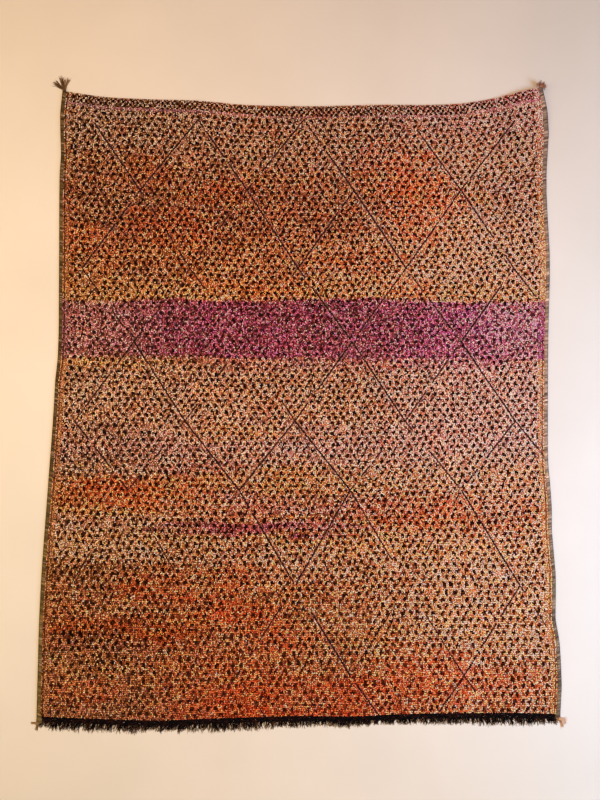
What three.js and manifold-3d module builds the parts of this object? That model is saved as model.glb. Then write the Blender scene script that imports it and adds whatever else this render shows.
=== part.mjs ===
// Hand-knotted wool rug lying on a floor with its flat knotted back up.
// Millimetres, +Z up. The origin is on the floor under the middle of the rug,
// +X runs across it and +Y along it, away from the fringed end.

import * as THREE from 'three';
import Module from 'manifold-3d';

const wasm = await Module();
wasm.setup();

// Cloth sizes
const FIELD_THICKNESS = 11;
const FIELD_EDGE_THICKNESS = 6;
const EDGE_ROUNDING = 14;
const SURFACE_UNEVENNESS = 0.9;
const SELVEDGE_HEIGHT = 9;
const SEAM_GAP = 0.3;

// Grid of the field: columns across the width and rows along the length
const COLUMNS = 25;
const ROWS = 31;

// The far right corner curls up off the floor
const CURL = { x: 1045, y: 1345, height: 18, reach: 230 };

// Outer edge of the left side, with the width of its bound selvedge
const LEFT_EDGE = [
  { y: -1293, x: -1054, selvedge: 18 },
  { y: -811, x: -1055, selvedge: 18 },
  { y: -409, x: -1039, selvedge: 18 },
  { y: -67, x: -1024, selvedge: 17 },
  { y: 42, x: -1022, selvedge: 17 },
  { y: 160, x: -1013, selvedge: 17 },
  { y: 500, x: -1020, selvedge: 17 },
  { y: 942, x: -1031, selvedge: 17 },
  { y: 1026, x: -1026, selvedge: 17 },
  { y: 1142, x: -1037, selvedge: 18 },
  { y: 1336, x: -1024, selvedge: 20 },
];

// Outer edge of the right side
const RIGHT_EDGE = [
  { y: -1280, x: 1040, selvedge: 18 },
  { y: -1176, x: 1051, selvedge: 19 },
  { y: -970, x: 1047, selvedge: 18 },
  { y: -902, x: 1034, selvedge: 17 },
  { y: -759, x: 1042, selvedge: 18 },
  { y: -555, x: 1031, selvedge: 18 },
  { y: -430, x: 1035, selvedge: 18 },
  { y: -335, x: 1025, selvedge: 18 },
  { y: -67, x: 1031, selvedge: 18 },
  { y: 257, x: 1044, selvedge: 18 },
  { y: 531, x: 1059, selvedge: 18 },
  { y: 801, x: 1054, selvedge: 19 },
  { y: 930, x: 1057, selvedge: 20 },
  { y: 1111, x: 1072, selvedge: 24 },
  { y: 1254, x: 1052, selvedge: 25 },
  { y: 1345, x: 1032, selvedge: 20 },
];

// Plain far end and fringed near end of the field
const FAR_END = [
  { x: -1010, y: 1340 },
  { x: -906, y: 1317 },
  { x: -693, y: 1305 },
  { x: -433, y: 1297 },
  { x: -250, y: 1279 },
  { x: 30, y: 1272 },
  { x: 342, y: 1279 },
  { x: 680, y: 1283 },
  { x: 876, y: 1315 },
  { x: 1020, y: 1346 },
];
const NEAR_END = [
  { x: -1035, y: -1269 },
  { x: -580, y: -1285 },
  { x: -400, y: -1279 },
  { x: 0, y: -1267 },
  { x: 192, y: -1269 },
  { x: 401, y: -1260 },
  { x: 721, y: -1256 },
  { x: 1035, y: -1258 },
];

// Dark end band with its fringe: reach of the locks and sideways lean for each length
const END_BAND = { width: 20, thickness: 6 };
const LOCK_COUNT = 232;
const LOCK = { rootWidth: 6.2, tipWidth: 2.8, rootHeight: 4.6, tipHeight: 2, buried: 4, spread: 1.8 };
const FRINGE = [
  { x: -1035, reach: 34, lean: -0.3 },
  { x: -800, reach: 38, lean: -0.22 },
  { x: -590, reach: 33, lean: 0.05 },
  { x: -300, reach: 37, lean: -0.1 },
  { x: 0, reach: 28, lean: 0.05 },
  { x: 350, reach: 25, lean: -0.08 },
  { x: 640, reach: 27, lean: 0.12 },
  { x: 860, reach: 33, lean: 0.3 },
  { x: 1035, reach: 23, lean: 0.1 },
];

// Corner tassels: each grows out of a selvedge's end. Aim and fan are in degrees, from +X,
// and a tassel with a rise is a pompom whose strands also fan up off the floor
const TASSELS = [
  { name: 'tassel_top_left', side: 'left', end: 'far', aim: 119, fan: 68, rise: 0, length: 58, strands: 8 },
  { name: 'tassel_top_right', side: 'right', end: 'far', aim: 52, fan: 130, rise: 44, length: 21, strands: 15 },
  { name: 'tassel_bottom_left', side: 'left', end: 'near', aim: 221, fan: 88, rise: 0, length: 26, strands: 7 },
  { name: 'tassel_bottom_right', side: 'right', end: 'near', aim: 322, fan: 58, rise: 0, length: 36, strands: 8 },
];
const TASSEL_HEAD = { neck: 9, neckHeight: 6.5, bulb: 12, bulbHeight: 7.5, length: 13, setOff: 2 };
const STRAND = {
  rootWidth: 3,
  tipWidth: 1,
  rootHeight: 3.2,
  tipHeight: 1,
  rootedShare: 0.5,
  domeStep: 2.4,
};

// How far each selvedge runs on past the field's near end
const SELVEDGE_TAIL = { left: 22, right: 14 };

// Steady scatter between 0 and 1
function scatter(index, salt) {
  const wave = Math.sin(index * 12.9898 + salt * 78.233) * 43758.5453;
  return wave - Math.floor(wave);
}

// Smooth curve through a table's rows
function profile(rows, across, value) {
  const slopes = rows.map((row, i) => {
    const before = rows[Math.max(i - 1, 0)];
    const after = rows[Math.min(i + 1, rows.length - 1)];
    return (after[value] - before[value]) / (after[across] - before[across]);
  });
  return (t) => {
    let i = 0;
    while (i < rows.length - 2 && t > rows[i + 1][across]) {
      i += 1;
    }
    const span = rows[i + 1][across] - rows[i][across];
    const f = THREE.MathUtils.clamp((t - rows[i][across]) / span, 0, 1);
    const rise = rows[i + 1][value] - rows[i][value];
    const ease = f * f * (3 - 2 * f);
    const start = f * (1 - f) * (1 - f) * slopes[i] * span;
    const finish = f * f * (f - 1) * slopes[i + 1] * span;
    return rows[i][value] + rise * ease + start + finish;
  };
}

const edgeX = { left: profile(LEFT_EDGE, 'y', 'x'), right: profile(RIGHT_EDGE, 'y', 'x') };
const selvedgeWidth = {
  left: profile(LEFT_EDGE, 'y', 'selvedge'),
  right: profile(RIGHT_EDGE, 'y', 'selvedge'),
};
const farY = profile(FAR_END, 'x', 'y');
const nearY = profile(NEAR_END, 'x', 'y');
const fringeReach = profile(FRINGE, 'x', 'reach');
const fringeLean = profile(FRINGE, 'x', 'lean');
const OUTWARD = { left: -1, right: 1 };

// Height of the cloth's underside off the floor
function curlAt(x, y) {
  const away = Math.hypot(x - CURL.x, y - CURL.y);
  const near = Math.max(1 - away / CURL.reach, 0);
  return CURL.height * near * near * (3 - 2 * near);
}

// Slight lumps of the hidden pile below
function lumpAt(x, y) {
  const broad = Math.sin(x / 171 + 0.7) * Math.cos(y / 213 - 0.4);
  const fine = Math.sin(x / 83 - y / 127) * Math.cos(y / 97 + x / 260);
  return SURFACE_UNEVENNESS * (broad + fine);
}

// Row places along the length: closer together at both ends, to round them
function rowPlace(row) {
  const rounding = EDGE_ROUNDING / (farY(0) - nearY(0));
  if (row === 0) {
    return 0;
  }
  if (row === ROWS) {
    return 1;
  }
  return THREE.MathUtils.lerp(rounding, 1 - rounding, (row - 1) / (ROWS - 2));
}

// Plan position on the field from its share of the width and of the length
function fieldPoint(across, along) {
  const middleY = THREE.MathUtils.lerp(nearY(0), farY(0), along);
  const left = edgeX.left(middleY) + selvedgeWidth.left(middleY) + SEAM_GAP;
  const right = edgeX.right(middleY) - selvedgeWidth.right(middleY) - SEAM_GAP;
  const plainX = THREE.MathUtils.lerp(NEAR_END[0].x, NEAR_END.at(-1).x, across);
  return new THREE.Vector2(
    THREE.MathUtils.lerp(left, right, across),
    THREE.MathUtils.lerp(nearY(plainX), farY(plainX), along),
  );
}

// Closed body from a list of points and faces, turned so that its faces point out
function closedBody(points, faces) {
  let volume = 0;
  for (const [a, b, c] of faces) {
    volume += points[a].dot(new THREE.Vector3().crossVectors(points[b], points[c]));
  }
  const outward = volume > 0 ? faces : faces.map(([a, b, c]) => [a, c, b]);
  const geometry = new THREE.BufferGeometry();
  geometry.setAttribute('position', new THREE.Float32BufferAttribute(points.flatMap((p) => p.toArray()), 3));
  geometry.setIndex(outward.flat());
  return geometry;
}

// Body through rings with equal numbers of points, capped at both ends
function loft(rings) {
  const sides = rings[0].length;
  const faces = [];
  for (let r = 0; r < rings.length - 1; r += 1) {
    for (let s = 0; s < sides; s += 1) {
      const a = r * sides + s;
      const b = r * sides + ((s + 1) % sides);
      faces.push([a, b, b + sides], [a, b + sides, a + sides]);
    }
  }
  const last = (rings.length - 1) * sides;
  for (let s = 1; s < sides - 1; s += 1) {
    faces.push([0, s + 1, s], [last, last + s, last + s + 1]);
  }
  return closedBody(rings.flat(), faces);
}

// Flat body between an upper and a lower surface over the same grid
function slab(columns, rows, lower, upper) {
  const points = [];
  const count = (columns + 1) * (rows + 1);
  for (const surface of [lower, upper]) {
    for (let r = 0; r <= rows; r += 1) {
      for (let c = 0; c <= columns; c += 1) {
        points.push(surface(c, r));
      }
    }
  }
  const at = (c, r) => r * (columns + 1) + c;
  const faces = [];
  const quad = (a, b, c, d) => faces.push([a, b, c], [a, c, d]);
  for (let r = 0; r < rows; r += 1) {
    for (let c = 0; c < columns; c += 1) {
      quad(at(c, r), at(c, r + 1), at(c + 1, r + 1), at(c + 1, r));
      quad(count + at(c, r), count + at(c + 1, r), count + at(c + 1, r + 1), count + at(c, r + 1));
    }
  }
  for (let c = 0; c < columns; c += 1) {
    quad(at(c, 0), at(c + 1, 0), count + at(c + 1, 0), count + at(c, 0));
    quad(at(c + 1, rows), at(c, rows), count + at(c, rows), count + at(c + 1, rows));
  }
  for (let r = 0; r < rows; r += 1) {
    quad(at(0, r + 1), at(0, r), count + at(0, r), count + at(0, r + 1));
    quad(at(columns, r), at(columns, r + 1), count + at(columns, r + 1), count + at(columns, r));
  }
  return closedBody(points, faces);
}

function toSolid(geometry) {
  const vertProperties = new Float32Array(geometry.getAttribute('position').array);
  const triVerts = new Uint32Array(geometry.getIndex().array);
  return new wasm.Manifold(new wasm.Mesh({ numProp: 3, vertProperties, triVerts }));
}

function fromSolid(solid) {
  const mesh = solid.getMesh();
  const geometry = new THREE.BufferGeometry();
  geometry.setAttribute('position', new THREE.Float32BufferAttribute(mesh.vertProperties, 3));
  geometry.setIndex(new THREE.Uint32BufferAttribute(mesh.triVerts, 1));
  return geometry;
}

// Field of knots, with its pile hidden below
function makeField() {
  const under = (c, r) => {
    const { x, y } = fieldPoint(c / COLUMNS, rowPlace(r));
    return new THREE.Vector3(x, y, curlAt(x, y));
  };
  const over = (c, r) => {
    const point = under(c, r);
    const atEnd = r === 0 || r === ROWS;
    point.z += atEnd ? FIELD_EDGE_THICKNESS : FIELD_THICKNESS + lumpAt(point.x, point.y);
    return point;
  };
  return slab(COLUMNS, ROWS, under, over);
}

// Section of a bound edge: flat below and rounded above, in shares of its width and height
const BOUND_SECTION = [
  { across: 0.04, up: 0 },
  { across: 0.9, up: 0 },
  { across: 1, up: 0.25 },
  { across: 0.98, up: 0.62 },
  { across: 0.8, up: 0.92 },
  { across: 0.5, up: 1 },
  { across: 0.18, up: 0.93 },
  { across: 0, up: 0.72 },
];

// Ring of a bound edge from its inner line, going sideways along the outward direction
function boundRing(inner, outward, width, height) {
  return BOUND_SECTION.map(({ across, up }) => {
    const point = inner.clone().addScaledVector(outward, across * width);
    point.z += up * height;
    return point;
  });
}

// Inner line, outward direction and width of a selvedge at each of its stations
function selvedgeStations(side) {
  const share = side === 'left' ? 0 : 1;
  const outward = new THREE.Vector3(OUTWARD[side], 0, 0);
  const stations = [];
  for (let r = 0; r <= ROWS; r += 1) {
    const { x, y } = fieldPoint(share, rowPlace(r));
    const inner = new THREE.Vector3(x + OUTWARD[side] * SEAM_GAP, y, curlAt(x, y));
    stations.push({ inner, outward, width: selvedgeWidth[side](y) });
  }
  const first = stations[0];
  const tail = first.inner.clone();
  tail.y -= SELVEDGE_TAIL[side];
  stations.unshift({ inner: tail, outward, width: first.width });
  return stations;
}

function makeSelvedge(side) {
  const rings = selvedgeStations(side).map(({ inner, outward, width }) => (
    boundRing(inner, outward, width, SELVEDGE_HEIGHT)
  ));
  return loft(rings);
}

// Three-sided strand lying on its flat base, tapering from root to tip
function strand(path, size) {
  const rings = path.map((point, i) => {
    const before = path[Math.max(i - 1, 0)];
    const after = path[Math.min(i + 1, path.length - 1)];
    const direction = after.clone().sub(before).normalize();
    const sideways = new THREE.Vector3(-direction.y, direction.x, 0).normalize();
    const up = new THREE.Vector3().crossVectors(direction, sideways);
    const taper = i / (path.length - 1);
    const width = THREE.MathUtils.lerp(size.rootWidth, size.tipWidth, taper);
    const height = THREE.MathUtils.lerp(size.rootHeight, size.tipHeight, taper);
    return [
      point.clone().addScaledVector(sideways, width / 2),
      point.clone().addScaledVector(sideways, -width / 2),
      point.clone().addScaledVector(up, height),
    ];
  });
  return loft(rings);
}

// Dark end band with its locks lying level on the floor
function makeEndFringe() {
  const bandPoint = (c, r) => {
    const { x, y } = fieldPoint(c / COLUMNS, 0);
    return new THREE.Vector3(x, y - SEAM_GAP - (r === 0 ? END_BAND.width : 0), 0);
  };
  const over = (c, r) => bandPoint(c, r).setZ(END_BAND.thickness);
  let fringe = toSolid(slab(COLUMNS, 1, bandPoint, over));
  for (let i = 0; i < LOCK_COUNT; i += 1) {
    const { x, y } = fieldPoint((i + 0.75) / (LOCK_COUNT + 0.5), 0);
    const edge = y - SEAM_GAP - END_BAND.width;
    const reach = fringeReach(x) * (0.78 + 0.22 * scatter(i, 1));
    const aside = fringeLean(x) * reach + LOCK.spread * (2 * scatter(i, 2) - 1);
    const path = [
      new THREE.Vector3(x, edge + LOCK.buried, 0),
      new THREE.Vector3(x + aside * 0.35, edge - reach * 0.5, 0),
      new THREE.Vector3(x + aside, edge - reach, 0),
    ];
    fringe = fringe.add(toSolid(strand(path, LOCK)));
  }
  return fromSolid(fringe);
}

// Bound head that grows out of a selvedge's end and turns towards the tassel's heading
function headRings(station, away, heading) {
  const { inner, outward, width } = station;
  const turn = heading - Math.atan2(away, 0);
  const up = new THREE.Vector3(0, 0, 1);
  const start = inner.clone();
  start.y += away * SEAM_GAP;
  const ahead = new THREE.Vector3(Math.cos(heading), Math.sin(heading), 0);
  const middle = start.clone().addScaledVector(outward, width / 2);
  const sections = [
    { reach: 0.35, width: TASSEL_HEAD.neck, height: TASSEL_HEAD.neckHeight },
    { reach: 0.75, width: TASSEL_HEAD.bulb, height: TASSEL_HEAD.bulbHeight },
    { reach: 1, width: TASSEL_HEAD.neck, height: TASSEL_HEAD.neckHeight },
  ];
  const rings = [boundRing(start, outward, width, SELVEDGE_HEIGHT)];
  for (const section of sections) {
    const sideways = outward.clone().applyAxisAngle(up, turn);
    const centre = middle.clone().addScaledVector(ahead, TASSEL_HEAD.length * section.reach);
    centre.y += away * TASSEL_HEAD.setOff;
    const corner = centre.addScaledVector(sideways, -section.width / 2);
    rings.push(boundRing(corner, sideways, section.width, section.height));
  }
  return rings;
}

function makeTassel({ side, end, aim, fan, rise, length, strands }) {
  const stations = selvedgeStations(side);
  const station = end === 'far' ? stations.at(-1) : stations[0];
  const away = end === 'far' ? 1 : -1;
  const heading = THREE.MathUtils.degToRad(aim);
  const rings = headRings(station, away, heading);
  const mouth = new THREE.Vector3();
  rings.at(-1).forEach((point) => mouth.addScaledVector(point, 1 / BOUND_SECTION.length));
  if (rise === 0) {
    mouth.z = rings.at(-1)[0].z;
  }
  const back = TASSEL_HEAD.length * STRAND.rootedShare;
  let tassel = toSolid(loft(rings));
  for (let i = 0; i < strands; i += 1) {
    const turn = THREE.MathUtils.degToRad(fan) * (i / (strands - 1) - 0.5);
    const lift = THREE.MathUtils.degToRad(rise) * Math.sin(i * STRAND.domeStep);
    const direction = new THREE.Vector3(
      Math.cos(heading + turn) * Math.cos(lift),
      Math.sin(heading + turn) * Math.cos(lift),
      Math.sin(lift),
    );
    const reach = length * (0.72 + 0.28 * scatter(i, 3));
    const root = mouth.clone().addScaledVector(direction, -back);
    const tip = mouth.clone().addScaledVector(direction, reach);
    tassel = tassel.add(toSolid(strand([root, tip], STRAND)));
  }
  return fromSolid(tassel);
}

function addPiece(group, name, geometry, color) {
  geometry.computeVertexNormals();
  const material = new THREE.MeshStandardMaterial({ color, roughness: 0.95, metalness: 0 });
  const mesh = new THREE.Mesh(geometry, material);
  mesh.name = name;
  group.add(mesh);
}

const rug = new THREE.Group();
addPiece(rug, 'rug_field', makeField(), 0xa4643a);
addPiece(rug, 'selvedge_left', makeSelvedge('left'), 0x5c4a2c);
addPiece(rug, 'selvedge_right', makeSelvedge('right'), 0x7c6a5a);
addPiece(rug, 'end_fringe', makeEndFringe(), 0x1e1814);
for (const tassel of TASSELS) {
  addPiece(rug, tassel.name, makeTassel(tassel), 0x8a6a45);
}

export default rug;
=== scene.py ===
"""A hand-knotted wool rug lying flat, back up: dyed wool, bound edges, fringe and corner tassels."""

import math

import bpy
import numpy as np
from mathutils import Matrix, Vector


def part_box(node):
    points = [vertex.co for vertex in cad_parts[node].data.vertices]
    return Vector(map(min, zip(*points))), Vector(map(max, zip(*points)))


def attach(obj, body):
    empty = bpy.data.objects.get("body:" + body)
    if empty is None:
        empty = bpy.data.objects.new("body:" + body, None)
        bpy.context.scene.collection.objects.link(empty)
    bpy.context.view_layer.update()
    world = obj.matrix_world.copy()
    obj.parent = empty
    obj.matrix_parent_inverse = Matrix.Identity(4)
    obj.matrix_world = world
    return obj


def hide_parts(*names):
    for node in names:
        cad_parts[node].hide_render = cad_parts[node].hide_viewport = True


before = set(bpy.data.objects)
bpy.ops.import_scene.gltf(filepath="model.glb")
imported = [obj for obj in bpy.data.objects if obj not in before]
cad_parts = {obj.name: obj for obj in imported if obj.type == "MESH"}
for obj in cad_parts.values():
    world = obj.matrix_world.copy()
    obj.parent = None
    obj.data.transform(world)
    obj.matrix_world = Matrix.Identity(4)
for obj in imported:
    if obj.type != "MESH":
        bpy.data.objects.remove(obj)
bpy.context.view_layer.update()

MM = 0.001
RUG_WIDTH = 2.08

# Yarn loops at the back of the knots: six across each dark dot's repeat and eight along it
LOOP_COLUMNS = 384
DOT_COLUMNS = 6
DOT_ROWS = 8
COLUMN_STEP_MM = 5.3
ROW_STEP_MM = 6.1
LOOP_LENGTH = 9.2 * MM
LOOP_WIDTH = 5.0 * MM
LOOP_HEIGHT = 2.3 * MM
LOOP_SINK_MM = 0.3
DOT_RISE_MM = 1.1
DOT_SWELL = (1.05, 1.3, 1.25)
PLAIN_EDGE_COLUMNS = 5

# How far single loops' tones spread in red, green and blue. Tone of wool by a dot, darkened as painted
# shade of the raised dot, and of the lighter net between dots
TONE_SPREAD = np.array([0.88, 1.04, 1.2])
NEAR_DOT_PAINTED_SHADE = 1.02
NET_LIGHT = 2.15

# Woven ground below the loops, and how much of the dye its upper side and the pile under it show; the upper
# side is partly dark weft and partly painted shade between the loops
GROUND_HEIGHT = 8.6 * MM
GROUND_DYE_AND_GAP_SHADE = (0.16, 0.11, 0.07)
PILE_SHADE = 0.6

# Dense dark knots along the far end, the end of the pale row next to them, and a margin without any
FAR_ROWS = 46 * MM
PALE_ROW_END = 58 * MM
FAR_MARGIN = 8 * MM

# Dark dots as the weaver ties them, seen from the back: X dark, o pale
DOT_SHAPES = [
    (".XX",
     "XXX",
     ".X."),
    ("XX.",
     "XXX",
     "..X"),
    (".X.",
     "XXX",
     "X.."),
    (".XX",
     "XX.",
     "X.o"),
    ("XX.",
     "XXX",
     "X.."),
    ("..X",
     "XXX",
     ".Xo"),
    ("XX.",
     "XX.",
     ".X."),
]

# Length of one repeat of the dots, at places along the rug
REPEAT_Y = np.array([-1300, -1060, -780, -400, -90, 300, 640, 900, 1350]) * MM
REPEAT_LENGTH = np.array([55, 55, 52, 47, 45, 45, 46, 49, 49]) * MM

# The far right corner curls up off the floor, as in the frame
CURL_X = 1045 * MM
CURL_Y = 1345 * MM
CURL_HEIGHT = 18 * MM
CURL_REACH = 230 * MM

# Ends of the field are rounded down to the floor
END_ROUNDING = 16 * MM
END_DROP = 3.6 * MM

# Wool dyes as seen in daylight, in 0 to 255
DYES = {
    "mauve": (170, 112, 92),
    "stone": (172, 128, 100),
    "sand": (172, 120, 88),
    "umber": (142, 84, 54),
    "deep_rust": (166, 66, 24),
    "brown": (158, 96, 62),
    "brown_orange": (176, 104, 62),
    "rust": (186, 72, 32),
    "red_orange": (212, 82, 38),
    "ochre": (196, 124, 68),
    "gold": (232, 140, 72),
    "edge_orange": (204, 134, 78),
    "olive": (158, 100, 52),
    "olive_brown": (120, 76, 42),
    "tan": (194, 132, 96),
    "peach": (214, 144, 96),
    "rose": (190, 132, 118),
    "deep_purple": (112, 38, 62),
    "purple": (124, 50, 68),
    "magenta": (134, 54, 88),
    "faded_mauve": (162, 96, 90),
    "orchid": (182, 100, 140),
    "cream": (246, 200, 168),
    "bleached": (244, 184, 158),
    "near_black": (28, 20, 22),
    "dark_brown": (60, 26, 15),
    "ink_brown": (26, 8, 4),
    "ink_green": (26, 34, 32),
    "ink_blue": (30, 30, 44),
    "olive_binding": (118, 94, 50),
    "dark_olive_binding": (96, 74, 42),
    "taupe_binding": (152, 118, 90),
    "speckled_binding": (126, 102, 76),
    "tan_binding": (190, 148, 112),
    "tassel_olive": (106, 78, 48),
    "tassel_tan": (168, 126, 80),
    "tassel_rose": (196, 132, 104),
    "tassel_orange": (226, 164, 106),
    "hair_black": (13, 9, 9),
}

# Uneven dyeing along the rug: dye of the left, middle and right thirds at each place
ABRASH = [
    # y, left, middle, right
    (1345, "stone", "mauve", "orchid"),
    (1270, "stone", "stone", "rose"),
    (1150, "sand", "sand", "mauve"),
    (1030, "brown", "sand", "tan"),
    (950, "brown", "brown", "sand"),
    (880, "umber", "umber", "brown_orange"),
    (800, "umber", "umber", "sand"),
    (720, "umber", "umber", "tan"),
    (640, "brown_orange", "brown_orange", "peach"),
    (540, "brown_orange", "brown_orange", "tan"),
    (426, "ochre", "ochre", "ochre"),
    (414, "purple", "purple", "purple"),
    (186, "purple", "purple", "purple"),
    (166, "ochre", "faded_mauve", "faded_mauve"),
    (110, "tan", "sand", "rose"),
    (-60, "tan", "tan", "rose"),
    (-190, "mauve", "rose", "rose"),
    (-290, "sand", "tan", "tan"),
    (-350, "brown_orange", "ochre", "tan"),
    (-450, "ochre", "mauve", "brown_orange"),
    (-490, "tan", "brown_orange", "brown_orange"),
    (-560, "peach", "ochre", "peach"),
    (-620, "peach", "tan", "peach"),
    (-680, "brown_orange", "peach", "peach"),
    (-760, "brown_orange", "brown_orange", "peach"),
    (-840, "brown_orange", "brown_orange", "peach"),
    (-930, "deep_rust", "brown_orange", "peach"),
    (-1010, "umber", "brown_orange", "peach"),
    (-1080, "brown_orange", "brown_orange", "brown_orange"),
    (-1160, "brown_orange", "rust", "brown_orange"),
    (-1290, "umber", "rust", "brown_orange"),
]

# Stretch of purple knots, and of the purple ground between them
PURPLE_KNOTS = (170 * MM, 420 * MM)
PURPLE_GROUND = (180 * MM, 420 * MM)

# How much lighter the left, middle and right thirds are, in red, green and blue: partly sun bleaching,
# partly painted sheen of the window light on the right
FADE_AND_WINDOW_SHEEN = np.array([(1.01, 0.98, 0.89), (1.42, 1.13, 0.98), (2.4, 1.76, 1.5)])
PURPLE_FADE_AND_WINDOW_SHEEN = np.array([(1.04, 0.97, 0.76), (1.28, 1.02, 0.78), (2.05, 1.44, 1.6)])

# Patches of another yarn: centre, half width and half length in mm, dye and strength
PATCHES = [
    (450, 980, 190, 135, "red_orange", 0.6),
    (530, 810, 150, 175, "red_orange", 0.75),
    (-640, 980, 100, 70, "deep_rust", 0.5),
    (-360, 890, 180, 60, "deep_rust", 0.4),
    (-570, 740, 200, 90, "rust", 0.5),
    (-920, 700, 130, 70, "red_orange", 0.5),
    (230, 640, 210, 50, "peach", 0.55),
    (670, 730, 130, 45, "peach", 0.5),
    (880, 890, 110, 45, "rose", 0.5),
    (-450, 540, 100, 45, "olive_brown", 0.5),
    (-640, 540, 90, 35, "sand", 0.5),
    (190, 540, 190, 40, "peach", 0.5),
    (-150, 470, 170, 45, "deep_rust", 0.6),
    (240, 600, 200, 45, "red_orange", 0.4),
    (300, 460, 100, 25, "peach", 0.5),
    (470, 470, 110, 35, "red_orange", 0.5),
    (-290, 300, 270, 110, "magenta", 0.25),
    (560, 320, 280, 100, "deep_purple", 0.85),
    (60, 330, 170, 90, "deep_purple", 0.35),
    (860, 300, 160, 110, "orchid", 0.3),
    (670, 150, 330, 40, "magenta", 0.35),
    (-290, -130, 200, 35, "gold", 0.6),
    (-410, -280, 250, 30, "faded_mauve", 0.5),
    (-40, -290, 120, 35, "gold", 0.5),
    (-740, -385, 300, 70, "red_orange", 0.75),
    (-260, -400, 120, 50, "faded_mauve", 0.5),
    (640, -470, 370, 95, "red_orange", 0.55),
    (820, -460, 80, 40, "tan", 0.5),
    (-290, -530, 330, 34, "deep_purple", 0.8),
    (90, -524, 300, 28, "magenta", 0.5),
    (-820, -610, 180, 40, "peach", 0.6),
    (490, -610, 530, 45, "gold", 0.55),
    (-860, -700, 200, 40, "olive_brown", 0.6),
    (-260, -720, 140, 55, "deep_rust", 0.6),
    (-610, -780, 180, 65, "rust", 0.75),
    (-260, -860, 180, 65, "rust", 0.9),
    (290, -950, 110, 100, "gold", 0.4),
    (820, -890, 130, 140, "gold", 0.35),
    (-830, -950, 190, 35, "olive_brown", 0.6),
    (-550, -940, 180, 55, "deep_rust", 0.6),
    (-80, -950, 140, 70, "rust", 0.6),
    (-850, -1070, 160, 55, "olive", 0.5),
    (-200, -1110, 200, 80, "red_orange", 0.35),
    (540, -1100, 240, 115, "red_orange", 0.75),
    (290, -1150, 130, 60, "rust", 0.7),
    (800, -1150, 200, 80, "red_orange", 0.5),
    (-860, -1170, 120, 55, "red_orange", 0.4),
    (-330, -640, 300, 35, "tan", 0.5),
    (250, -870, 260, 60, "peach", 0.35),
    (-150, 600, 780, 130, "deep_rust", 0.2),
    (-420, -1050, 260, 60, "deep_rust", 0.35),
    (-420, -690, 250, 45, "deep_rust", 0.3),
    (-250, -440, 380, 38, "rust", 0.25),
    (-400, -310, 220, 45, "deep_rust", 0.25),
    (0, -1190, 150, 50, "brown", 0.4),
]

# Streaks of uneven yarn: dye or a darker shade, size across and along in m, share, strength and seed
STREAKS = [
    ("red_orange", 0.11, 0.02, 0.34, 0.22, 61),
    ("gold", 0.1, 0.016, 0.32, 0.3, 62),
    ("olive_brown", 0.13, 0.014, 0.3, 0.4, 63),
    (None, 0.07, 0.012, 0.34, 0.5, 64),
    (None, 0.02, 0.012, 0.3, 0.5, 65),
    ("tan", 0.03, 0.01, 0.3, 0.35, 66),
]

# How plainly the dark dots show: left, middle and right at each place
DOT_CONTRAST = [
    (1345, 0.9, 0.95, 1.0),
    (1000, 0.8, 0.9, 1.0),
    (560, 0.75, 0.9, 1.0),
    (420, 0.75, 0.8, 0.85),
    (380, 0.45, 0.2, 0.5),
    (200, 0.45, 0.25, 0.5),
    (130, 0.75, 0.8, 0.9),
    (0, 0.85, 0.9, 1.0),
    (-350, 0.7, 0.8, 0.9),
    (-600, 0.8, 0.9, 1.0),
    (-900, 0.52, 0.6, 0.9),
    (-1290, 0.25, 0.35, 0.65),
]

# Patches where the dots crowd together: centre and half size in mm, and how much plainer they are
CROWDED = [
    (-830, -960, 150, 45, 0.5),
    (-520, -862, 180, 14, 0.6),
    (-680, -1085, 170, 45, 0.4),
    (-400, 1150, 300, 60, 0.2),
    (-850, 880, 120, 60, 0.3),
    (-830, 1140, 170, 110, 0.3),
    (900, 1150, 150, 120, 0.2),
]

# Rows where the lozenge lines meet: place along the rug and of the middle meeting, in mm
LOZENGE_PITCH = 228
LOZENGES = [(1210, 17), (897, 2), (557, -8), (244, -10), (-88, -21), (-372, -22), (-755, -20), (-1110, -26),
            (-1420, -26)]

# Strength of each line from every second meeting of a row, from the left edge to the right
FALLING_RIGHT = [
    (0.9, 0.9, 0.9, 0.9, 0.4),
    (0.5, 0.9, 0.9, 0.9),
    (0.6, 0.4, 0.9, 0.6, 0.8),
    (0.9, 0.6, 0.9, 0.9),
    (0.7, 0.9, 0.9, 0.8, 0.8),
    (0.4, 0.9, 0.5, 0.9),
    (0.2, 0.3, 0.9, 0.6, 0.4),
    (0.2, 0.3, 0.7, 0.6),
]
FALLING_LEFT = [
    (0.0, 0.9, 0.9, 0.5, 0.9),
    (0.9, 0.5, 0.9, 0.9),
    (0.0, 0.5, 0.5, 0.6, 0.9),
    (0.6, 0.6, 0.9, 0.7),
    (0.0, 0.4, 0.8, 0.5, 0.8),
    (0.4, 0.3, 0.8, 0.5),
    (0.0, 0.2, 0.5, 0.3, 0.8),
    (0.2, 0.3, 0.3, 0.7),
]

# A lozenge line's half width, the reach of the lighter wool beside it, and the step of its knots
LINE_HALF_WIDTH = 3.4 * MM
LINE_MARGIN = 9 * MM
LINE_STEP = 6.4 * MM

# Strips of knots, cut where the dyeing changes
STRIPS = [
    ("knots_mauve_end", 1.40, 0.88),
    ("knots_ochre", 0.88, 0.42),
    ("knots_purple", 0.42, -0.10),
    ("knots_gold", -0.10, -0.64),
    ("knots_rust_end", -0.64, -1.40),
]

# Dark end band and its locks, as in the frame
FRINGE_X = np.array([-1035, -800, -590, -300, 0, 350, 640, 860, 1035]) * MM
FRINGE_REACH = np.array([34, 38, 33, 37, 28, 25, 27, 33, 23]) * MM
FRINGE_LEAN = np.array([-0.45, -0.4, -0.5, -0.1, 0.05, -0.08, 0.12, 0.3, 0.5])
BAND_WIDTH = 20 * MM
FRINGE_STRANDS = 2300
LOCK_WIDTH_MM = 9

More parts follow.
